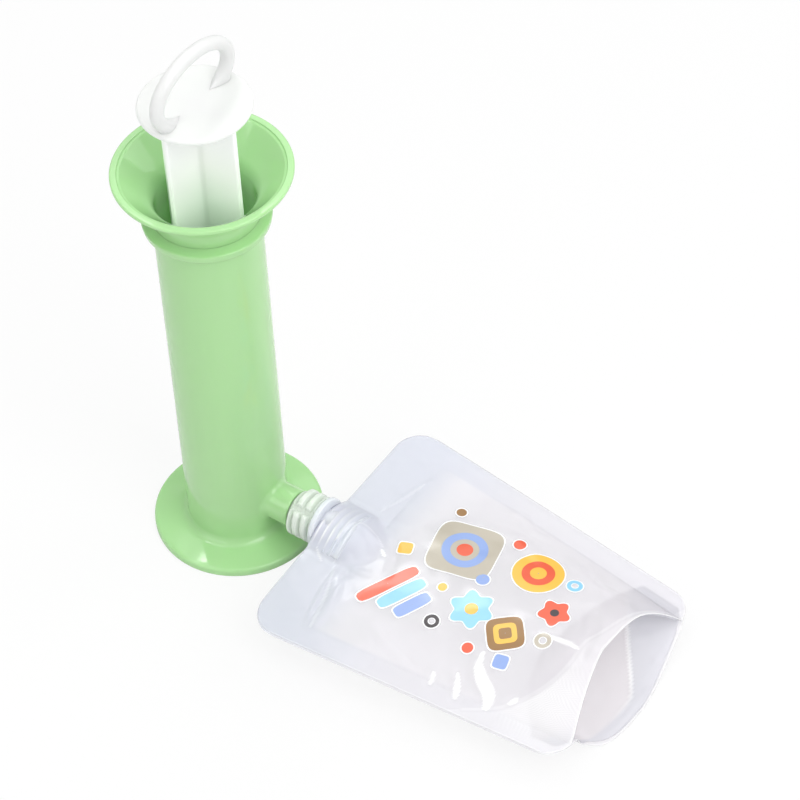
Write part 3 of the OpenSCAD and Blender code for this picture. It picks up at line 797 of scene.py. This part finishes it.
def painted_highlights(x, y):
    """The painted highlights: a flat-topped white band along each line that widens towards
    its end and closes to a point at both."""
    total = np.zeros(np.shape(x))
    for line, width, strength in PAINTED_HIGHLIGHTS:
        d, share = along_line(x, y, bent(line))
        half = width * np.sin(np.pi * share) ** 0.5 * (0.7 + 0.5 * share)
        total += strength * smooth((half - np.abs(d)) / 0.5 + 0.5) * (half > 0.15)
    return total


def film_look(x, y, upper):
    """The tint and the haze of each point. The top seal is bluish, the side seams and the
    chamber are paler, and cut edges are hazier. On the upper film the weld past the weld
    arc is nearly white, with its hatch and a pool of painted reflection, and painted
    highlights lie on the ribs over the boat and along the folds."""
    t = y / half_width(x)
    tint = mixed(srgb(226, 228, 240)[:3], srgb(234, 232, 238)[:3], smooth((x - POUCH_X0 - 8) / 60))
    tint = mixed(tint, srgb(243, 240, 245)[:3], 0.8 * inside(x, y) * smooth((x - POUCH_X0 - TOP_SEAM) / 14))
    haze = 0.37 + 0 * x
    if upper:
        d, _ = along_line(x, y + POUCH_SIDE, WELD_ARC)
        hatch = 0.5 + 0.5 * np.sin(9 * np.hypot(x - 182, y + 62) + 2.0 * np.sin(y))
        # Past the weld arc: the weld's whiteness with its hatch, and over it a pool of painted reflection.
        weld_hatch_and_sheen = smooth(d / 2) * (0.2 + 0.6 * bump(np.hypot(x - 160, y + 28) / 26) * (0.6 + 0.4 * hatch))
        line = 1 - smooth((np.abs(d) - 0.3) / 0.6)
        over_boat = bump((y + POUCH_SIDE) / (TENT_HW + 3)) * (1 - smooth((x - BOAT_X - BOAT_LEN) / TENT_LEN))
        # Painted highlights: white lines on the ribs over the boat, and short bright strokes on their -Y side.
        ribs = rib_wave(x) ** 3 * over_boat * (x < RIBS_END_X)
        rib_stroke_highlights = rib_wave(x) ** 10 * bump((y + POUCH_SIDE + 6.5) / 6) * (x < RIBS_END_X)
        # Painted highlights along the folds and wrinkles.
        highlight_paint = painted_highlights(x, y + POUCH_SIDE)
        white = np.clip(weld_hatch_and_sheen + 0.25 * line + 0.5 * ribs + 0.9 * rib_stroke_highlights + highlight_paint, 0, 1)
        tint = mixed(tint, NEAR_WHITE, white)
        haze = haze + 0.3 * weld_hatch_and_sheen + 0.06 * line + 0.35 * np.sqrt(over_boat) + 0.3 * rib_stroke_highlights + 0.4 * highlight_paint
    to_end = end_edge(t, FAR_X, upper) - x
    edge = np.maximum(1 - smooth(to_end / 0.9), 0.5 - 0.5 * smooth((1 - np.abs(t)) * half_width(x) / 0.8))
    return mixed(tint, (0.97, 0.97, 0.98), edge), haze + 0.4 * edge


def film_object(name, pts, thickness, look):
    """A sheet on a grid, given its thickness by Solidify, with its look as attributes."""
    obj = make_object(name, [(pts, grid_faces(*pts.shape[:2]))], smooth_angle=80)
    co = vertices_mm(obj)
    colour, haze = look(co[:, 0], co[:, 1] - POUCH_SIDE)
    set_colours(obj, "film_tint", colour)
    layer = obj.data.attributes.new("film_haze", "FLOAT", "POINT")
    layer.data.foreach_set("value", np.asarray(haze, np.float32))
    wall = obj.modifiers.new("thickness", "SOLIDIFY")
    wall.thickness = thickness * MM
    wall.offset = 0
    return obj


GUSSET_FOLD = bent([(158, 34), (166.1, 21.5), (170.1, 16.1), (175.5, 8.5), (178.6, 2), (178.1, -9.5),
                    (175.5, -21.2), (171, -29)])


def gusset_look(x, y):
    """The gusset's tint: warm in its depth, bluish where it is welded to the lower film,
    with a painted highlight along the fold between the two."""
    d, share = along_line(x, y + POUCH_SIDE, GUSSET_FOLD)
    line = (1 - smooth((np.abs(d) - 0.3) / 0.7)) * (1 - smooth((share - 0.35) / 0.4))
    tint = mixed(srgb(248, 243, 247)[:3], srgb(232, 232, 240)[:3], smooth(0.5 - d / 1.2))
    return mixed(tint, NEAR_WHITE, line), 0.37 + 0.3 * line


front = film_object("upper_film", film_grid(True, 225, 205), FILM_T, lambda x, y: film_look(x, y, True))
back = film_object("lower_film", film_grid(False, 150, 140), FILM_T, lambda x, y: film_look(x, y, False))
gusset = film_object("gusset_sheet", gusset_grid(90, 120), FILM_T, gusset_look)
for piece, node in ((front, "front_film"), (back, "back_film"), (gusset, "gusset_film")):
    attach(piece, "pouch")
    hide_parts(node)
print("films", [len(o.data.polygons) for o in (front, back, gusset)])

# %% [markdown]
# The pouch is printed with a bright pattern of plain shapes: rings, pills, petals and
# dots, each on a white underprint a little larger than itself. Ink is a skin a few
# hundredths of a millimetre thick, so every colour is a thin closed mesh that follows
# the upper film. Each shape is a polar grid round its own centre, and its outline is a
# superellipse whose power runs from 2, an ellipse, to a rounded rectangle.

# %% Print
INKS = {"orange": (228, 98, 70), "yellow": (240, 190, 82), "sky": (144, 204, 236),
        "periwinkle": (144, 168, 222), "beige": (188, 180, 166), "brown": (152, 114, 68),
        "charcoal": (62, 56, 60), "white": (240, 240, 243)}
PETAL_DEPTH = 0.16
INK_T, INK_GAP, INK_STEP, UNDERPRINT = 0.03, 0.02, 0.035, 0.55
# Each shape: ink, layer, x, y, half sizes, turn in degrees, power, petals, hole's share
SHAPES = (
    ("beige", 1, 96, 17, 13, 13, 12, 5, 0, 0), ("periwinkle", 2, 96, 17, 9, 9, 0, 2, 0, 0.62),
    ("orange", 2, 96, 17, 3.2, 3.2, 0, 2, 0, 0),
    ("yellow", 1, 126, 22, 10, 10, 0, 2, 0, 0), ("orange", 2, 126, 22, 6.4, 6.4, 0, 2, 0, 0.5),
    ("orange", 1, 80, -12, 13, 2.6, 62, 5, 0, 0), ("sky", 1, 87, -13, 10, 2.6, 62, 5, 0, 0),
    ("periwinkle", 1, 93.5, -15.5, 7.5, 2.6, 62, 5, 0, 0),
    ("sky", 1, 114, -6, 7.6, 7.6, 0, 2, 6, 0), ("yellow", 2, 114, -6, 2.6, 2.6, 0, 2, 0, 0),
    ("brown", 1, 131, -9, 7, 7, 38, 4.5, 0, 0), ("yellow", 2, 131, -9, 4.4, 4.4, 38, 4.5, 0, 0.55),
    ("orange", 1, 142, 8, 5.5, 5.5, 0, 2, 5, 0), ("charcoal", 2, 142, 8, 1.7, 1.7, 0, 2, 0, 0),
    ("beige", 1, 145, -5, 3.2, 3.2, 0, 2, 0, 0.5), ("periwinkle", 1, 110, 8, 2.6, 2.6, 0, 2, 0, 0),
    ("charcoal", 1, 104, -18, 2.9, 2.9, 0, 2, 0, 0.52), ("yellow", 1, 76, 6, 2.8, 2.8, 20, 4.5, 0, 0),
    ("orange", 1, 112, 31, 2.4, 2.4, 0, 2, 0, 0), ("sky", 1, 141, 24, 3.0, 3.0, 0, 2, 0, 0.5),
    ("brown", 1, 84, 33, 2.0, 2.0, 0, 2, 0, 0), ("orange", 1, 122, -21, 2.2, 2.2, 0, 2, 0, 0),
    ("periwinkle", 1, 136, -20, 2.8, 2.8, 12, 4.5, 0, 0), ("yellow", 1, 99, -3, 1.8, 1.8, 0, 2, 0, 0),
)


def shape_grid(x, y, a, b, turn, power, petals, hole, grow, rings=9, spokes=72):
    """Polar points of one shape: r = (|cos/a|^n + |sin/b|^n)^(-1/n), times 1 + depth * cos
    of the petals' angle, from the hole's share of r to the whole."""
    t = np.linspace(0, 2 * np.pi, spokes, endpoint=False)
    r = (np.abs(np.cos(t) / (a + grow)) ** power + np.abs(np.sin(t) / (b + grow)) ** power) ** (-1 / power)
    r = r * (1 + (PETAL_DEPTH * np.cos(petals * t) if petals else 0))
    start = max(0.02, hole - (grow / a if hole else 0))
    share = np.linspace(start, 1, rings)[:, None]
    phi = np.radians(turn)
    px, py = share * r * np.cos(t), share * r * np.sin(t)
    return x + px * np.cos(phi) - py * np.sin(phi), y + px * np.sin(phi) + py * np.cos(phi)


def ink_skin(gx, gy, level):
    """A closed skin over the film: top grid, bottom grid, and walls at its two rims."""
    z = surface(gx, gy - POUCH_SIDE, True) + FILM_T / 2 + INK_GAP + level * INK_STEP
    top, low = np.stack([gx, gy, z + INK_T], -1), np.stack([gx, gy, z], -1)
    loop = np.concatenate([top, low[::-1]])
    return loop, grid_faces(len(loop), gx.shape[1], wrap_u=True, wrap_v=True)


ink_parts = {name: [] for name in INKS}
for ink, level, x, y, a, b, turn, power, petals, hole in SHAPES:
    ink_parts[ink].append(ink_skin(*shape_grid(x, y, a, b, turn, power, petals, hole, 0), level))
    if level == 1:
        ink_parts["white"].append(ink_skin(*shape_grid(x, y, a, b, turn, power, petals, hole, UNDERPRINT), 0))
prints = {}
for ink, parts in ink_parts.items():
    prints[ink] = make_object("print_" + ink, parts, merge=1e-7)
    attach(prints[ink], "pouch")
print("print:", len(SHAPES), "shapes in", len(prints), "inks")

# %% [markdown]
# Materials. Each one is a Principled shader with its constant values on its own
# sockets, and nodes only for what changes over the surface.

# %% Material helpers
def new_material(name, **values):
    """A Principled material with these socket values. Returns (material, tree, shader)."""
    mat = bpy.data.materials.new(name)
    mat.use_nodes = True
    shader = mat.node_tree.nodes["Principled BSDF"]
    for key, value in values.items():
        shader.inputs[key.replace("_", " ")].default_value = value
    return mat, mat.node_tree, shader


def read_attribute(tree, shader, name, output, socket):
    """Feeds one socket of the shader from a mesh attribute."""
    node = tree.nodes.new("ShaderNodeAttribute")
    node.attribute_name = name
    tree.links.new(node.outputs[output], shader.inputs[socket])


def math_node(tree, operation, source, value):
    """Works out one operation on an output and a fixed value, such as output^value."""
    node = tree.nodes.new("ShaderNodeMath")
    node.operation = operation
    node.inputs[1].default_value = value
    tree.links.new(source, node.inputs[0])
    return node.outputs[0]


def rim_shade(tree, shader, colour, power=4.0, share=0.8):
    """Darkens the base colour where the surface turns away: share * facing^power."""
    facing = tree.nodes.new("ShaderNodeLayerWeight")
    facing.inputs["Blend"].default_value = 0.5
    bent_over = math_node(tree, "POWER", facing.outputs["Facing"], power)
    amount = math_node(tree, "MULTIPLY", bent_over, share)
    mix = tree.nodes.new("ShaderNodeMix")
    mix.data_type = "RGBA"
    mix.inputs["A"].default_value = shader.inputs["Base Color"].default_value
    mix.inputs["B"].default_value = colour
    tree.links.new(amount, mix.inputs["Factor"])
    tree.links.new(mix.outputs["Result"], shader.inputs["Base Color"])


green, tree, shader = new_material("green_plastic", Base_Color=srgb(172, 219, 156), Roughness=0.07,
                                   IOR=1.5, Subsurface_Weight=0.25, Subsurface_Scale=0.004,
                                   Subsurface_Radius=(0.8, 1, 0.7))
white, tree, shader = new_material("white_plastic", Base_Color=srgb(205, 206, 205), Roughness=0.4,
                                   Subsurface_Weight=0.8, Subsurface_Radius=(1, 1, 1), Subsurface_Scale=0.006,
                                   Emission_Strength=1.0)
# The emission colour is painted light that lifts the shade of the white pieces.
read_attribute(tree, shader, "painted_glow", "Color", "Emission Color")
rim_shade(tree, shader, (0.50, 0.53, 0.51, 1))
natural, tree, shader = new_material("spout_plastic", Roughness=0.2, Subsurface_Weight=0.9,
                                     Subsurface_Radius=(1, 1, 1), Subsurface_Scale=0.005)
read_attribute(tree, shader, "spout_tint_and_shade", "Color", "Base Color")
film, tree, shader = new_material("clear_film", Roughness=0.1)
read_attribute(tree, shader, "film_tint", "Color", "Base Color")
read_attribute(tree, shader, "film_haze", "Fac", "Alpha")
for ink, colour in INKS.items():
    ink_mat, tree, shader = new_material("ink_" + ink, Base_Color=srgb(*colour), Roughness=0.14)
    prints[ink].data.materials.append(ink_mat)
rubber, tree, shader = new_material("seal_rubber", Base_Color=srgb(225, 226, 222), Roughness=0.5)
for mat, pieces in ((green, (barrel, funnel)), (white, (shaft, ring, disc, piston)), (rubber, (seal,)),
                    (natural, (spout, boat)), (film, (front, back, gusset))):
    for obj in pieces:
        obj.data.materials.clear()
        obj.data.materials.append(mat)

# %% [markdown]
# The floor is white, and so is the backdrop. To the camera the floor is mostly a plain
# glow, mixed with its real shade, so a soft shadow stays. Three small lamps make the
# bright patches on the rim, the foot and the outlet.

# %% Stage and lights
FLOOR_HALF, FLOOR_GREY, FLOOR_GLOW, WORLD_LIGHT = 6.0, 0.82, 0.85, 0.43


def add_floor():
    """A large white square at the height 0."""
    mesh = bpy.data.meshes.new("floor")
    s = FLOOR_HALF
    mesh.from_pydata([(-s, -s, 0), (s, -s, 0), (s, s, 0), (-s, s, 0)], [], [(0, 1, 2, 3)])
    floor = add_object("floor", mesh)
    mat = bpy.data.materials.new("floor")
    mat.use_nodes = True
    nt = mat.node_tree
    nt.nodes.clear()
    out = nt.nodes.new("ShaderNodeOutputMaterial")
    mix = nt.nodes.new("ShaderNodeMixShader")
    diffuse = nt.nodes.new("ShaderNodeBsdfDiffuse")
    diffuse.inputs["Color"].default_value = (FLOOR_GREY, FLOOR_GREY, FLOOR_GREY, 1)
    glow = nt.nodes.new("ShaderNodeEmission")
    glow.inputs["Strength"].default_value = 1.0
    path = nt.nodes.new("ShaderNodeLightPath")
    nt.links.new(math_node(nt, "MULTIPLY", path.outputs["Is Camera Ray"], FLOOR_GLOW), mix.inputs[0])
    nt.links.new(diffuse.outputs[0], mix.inputs[1])
    nt.links.new(glow.outputs[0], mix.inputs[2])
    nt.links.new(mix.outputs[0], out.inputs[0])
    mesh.materials.append(mat)


def add_world():
    """An even white surrounding light."""
    world = bpy.data.worlds.new("world")
    bpy.context.scene.world = world
    world.use_nodes = True
    world.node_tree.nodes["Background"].inputs["Color"].default_value = (1, 1, 1, 1)
    world.node_tree.nodes["Background"].inputs["Strength"].default_value = WORLD_LIGHT


def add_lamp(name, at, size, power, look_at=(0.05, 0, 0.08)):
    """A rectangular lamp, in metres and watts, turned towards look_at."""
    data = bpy.data.lights.new(name, "AREA")
    data.shape = "RECTANGLE"
    data.size, data.size_y = size
    data.energy = power
    lamp = add_object(name, data)
    lamp.location = at
    direction = np.array(look_at) - np.array(at)
    lamp.rotation_euler = Vector(direction).to_track_quat("-Z", "Y").to_euler()


add_floor()
add_world()
add_lamp("top_softbox", (0.05, 0.0, 1.6), (1.4, 1.4), 7.5)
add_lamp("key_softbox", (0.95, -0.2, 1.0), (0.8, 0.8), 8)
add_lamp("window_softbox", (-0.465, 0.338, 1.047), (0.09, 0.04), 0.12, look_at=(0.005, -0.025, 0.0))
add_lamp("rim_softbox", (-0.556, 0.63, 1.178), (0.2, 0.2), 0.7, look_at=(0.0, 0.0, 0.185))
add_lamp("fill_softbox", (0.6, 0.9, 0.8), (0.8, 0.6), 2.2)
add_lamp("side_softbox", (-0.46, -0.02, 1.07), (0.25, 0.06), 0.4, look_at=(0.028, -0.002, 0.027))
add_lamp("front_softbox", (-0.25, -1.0, 0.8), (0.9, 0.6), 3.0)
add_lamp("back_softbox", (-0.5, 0.78, 1.3), (0.9, 0.7), 2.5)
bpy.context.scene.view_settings.view_transform = "Standard"
